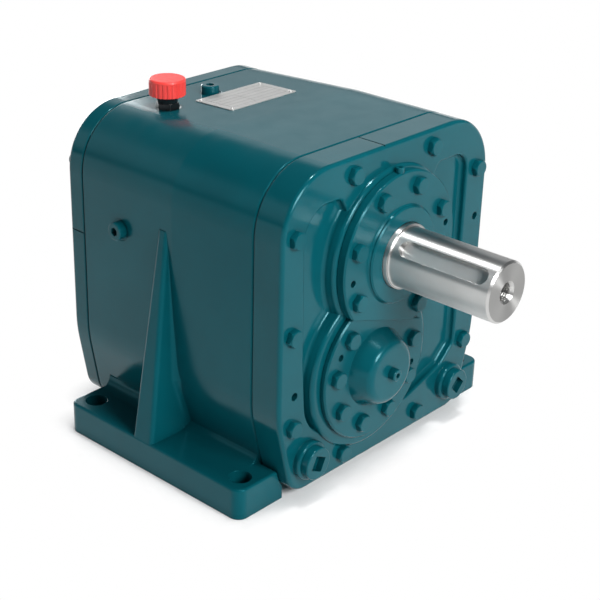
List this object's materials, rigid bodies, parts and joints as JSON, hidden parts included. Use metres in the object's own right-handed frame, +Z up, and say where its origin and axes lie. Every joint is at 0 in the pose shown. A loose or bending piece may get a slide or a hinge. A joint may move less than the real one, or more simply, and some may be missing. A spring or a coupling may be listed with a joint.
{
  "type": "concentric gear reducer",
  "caption": "Foot-mounted concentric helical gear reducer: cast housing, bolted covers and caps, keyed output shaft in front and input shaft behind on one axis, breather on top.",
  "frame": {"origin": "centre of the four foot holes, on the plane that the feet stand on", "axes": "-Y along the output shaft out of the front, +X to the right seen from the front, +Z up"},
  "size_m": [0.38, 0.534, 0.3588],
  "materials": {
    "housing_paint": "gloss",
    "cover_paint": "gloss",
    "cap_paint": "gloss",
    "gasket_fibre": "matte",
    "shim_steel": "satin",
    "bolt_paint": "gloss",
    "plug_paint": "gloss",
    "pin_steel": "satin",
    "breather_black": "satin",
    "breather_red": "gloss",
    "plate_aluminium": "satin",
    "seal_rubber": "matte",
    "shaft_steel": "turned",
    "gear_steel": "ground",
    "sleeve_steel": "turned",
    "bearing_steel": "polished"
  },
  "bodies": {
    "housing": {"gear_housing": "housing_paint", "front_cover": "cover_paint", "rear_cover": "cover_paint", "output_seal_cage": "cap_paint", "countershaft_cover": "cap_paint", "input_seal_cage": "cap_paint", "countershaft_rear_cap": "cap_paint", "front_gasket": "gasket_fibre", "rear_gasket": "gasket_fibre", "output_cage_shims": "shim_steel", "countershaft_cover_shims": "shim_steel", "input_cage_shims": "shim_steel", "rear_cap_shims": "shim_steel", "front_cover_bolts": "bolt_paint", "output_cage_bolts": "bolt_paint", "countershaft_cover_bolts": "bolt_paint", "rear_cover_bolts": "bolt_paint", "input_cage_bolts": "bolt_paint", "rear_cap_bolts": "bolt_paint", "drain_plug_left": "plug_paint", "drain_plug_right": "plug_paint", "level_plug": "plug_paint", "fill_plug": "plug_paint", "dome_plug": "plug_paint", "purge_plug": "plug_paint", "dowel_pins": "pin_steel", "nameplate_screws": "pin_steel", "breather_body": "breather_black", "breather_cap": "breather_red", "nameplate": "plate_aluminium", "output_oil_seal": "seal_rubber", "input_oil_seal": "seal_rubber", "output_front_bearing_cup": "bearing_steel", "output_rear_bearing_cup": "bearing_steel", "countershaft_front_bearing_cup": "bearing_steel", "countershaft_rear_bearing_cup": "bearing_steel", "input_front_bearing_cup": "bearing_steel", "input_rear_bearing_cup": "bearing_steel"},
    "output_shaft_line": {"output_shaft": "shaft_steel", "output_gear": "gear_steel", "output_gear_key": "pin_steel", "output_spacer": "sleeve_steel", "output_front_bearing_cone": "bearing_steel", "output_rear_bearing_cone": "bearing_steel"},
    "countershaft_shaft_line": {"countershaft": "gear_steel", "high_speed_gear": "gear_steel", "high_speed_gear_key": "pin_steel", "countershaft_spacer": "sleeve_steel", "countershaft_front_bearing_cone": "bearing_steel", "countershaft_rear_bearing_cone": "bearing_steel"},
    "input_shaft_line": {"input_pinion_shaft": "shaft_steel", "input_front_bearing_cone": "bearing_steel", "input_rear_bearing_cone": "bearing_steel"},
    "output_front_roller_set": {"output_front_bearing_rollers": "bearing_steel"},
    "output_rear_roller_set": {"output_rear_bearing_rollers": "bearing_steel"},
    "countershaft_front_roller_set": {"countershaft_front_bearing_rollers": "bearing_steel"},
    "countershaft_rear_roller_set": {"countershaft_rear_bearing_rollers": "bearing_steel"},
    "input_front_roller_set": {"input_front_bearing_rollers": "bearing_steel"},
    "input_rear_roller_set": {"input_rear_bearing_rollers": "bearing_steel"}
  },
  "joints": [
    {"name": "output_spin", "type": "hinge", "parent": "housing", "child": "output_shaft_line", "pos_m": [0, 0, 0.225], "axis": [0, -1, 0], "continuous": true},
    {"name": "countershaft_spin", "type": "hinge", "parent": "housing", "child": "countershaft_shaft_line", "pos_m": [-0.025, 0, 0.11275], "axis": [0, -1, 0], "continuous": true},
    {"name": "input_spin", "type": "hinge", "parent": "housing", "child": "input_shaft_line", "pos_m": [0, 0, 0.225], "axis": [0, -1, 0], "continuous": true},
    {"name": "output_front_rollers_spin", "type": "hinge", "parent": "housing", "child": "output_front_roller_set", "pos_m": [0, 0, 0.225], "axis": [0, -1, 0], "continuous": true},
    {"name": "output_rear_rollers_spin", "type": "hinge", "parent": "housing", "child": "output_rear_roller_set", "pos_m": [0, 0, 0.225], "axis": [0, -1, 0], "continuous": true},
    {"name": "countershaft_front_rollers_spin", "type": "hinge", "parent": "housing", "child": "countershaft_front_roller_set", "pos_m": [-0.025, 0, 0.11275], "axis": [0, -1, 0], "continuous": true},
    {"name": "countershaft_rear_rollers_spin", "type": "hinge", "parent": "housing", "child": "countershaft_rear_roller_set", "pos_m": [-0.025, 0, 0.11275], "axis": [0, -1, 0], "continuous": true},
    {"name": "input_front_rollers_spin", "type": "hinge", "parent": "housing", "child": "input_front_roller_set", "pos_m": [0, 0, 0.225], "axis": [0, -1, 0], "continuous": true},
    {"name": "input_rear_rollers_spin", "type": "hinge", "parent": "housing", "child": "input_rear_roller_set", "pos_m": [0, 0, 0.225], "axis": [0, -1, 0], "continuous": true}
  ],
  "couplings": [
    {"joint": "countershaft_spin", "follows": "output_spin", "ratio": -2.9375},
    {"joint": "input_spin", "follows": "output_spin", "ratio": 8.5033},
    {"joint": "output_front_rollers_spin", "follows": "output_spin", "ratio": 0.44813},
    {"joint": "output_rear_rollers_spin", "follows": "output_spin", "ratio": 0.44097},
    {"joint": "countershaft_front_rollers_spin", "follows": "output_spin", "ratio": -1.2293},
    {"joint": "countershaft_rear_rollers_spin", "follows": "output_spin", "ratio": -1.2204},
    {"joint": "input_front_rollers_spin", "follows": "output_spin", "ratio": 3.5284},
    {"joint": "input_rear_rollers_spin", "follows": "output_spin", "ratio": 3.5585}
  ]
}
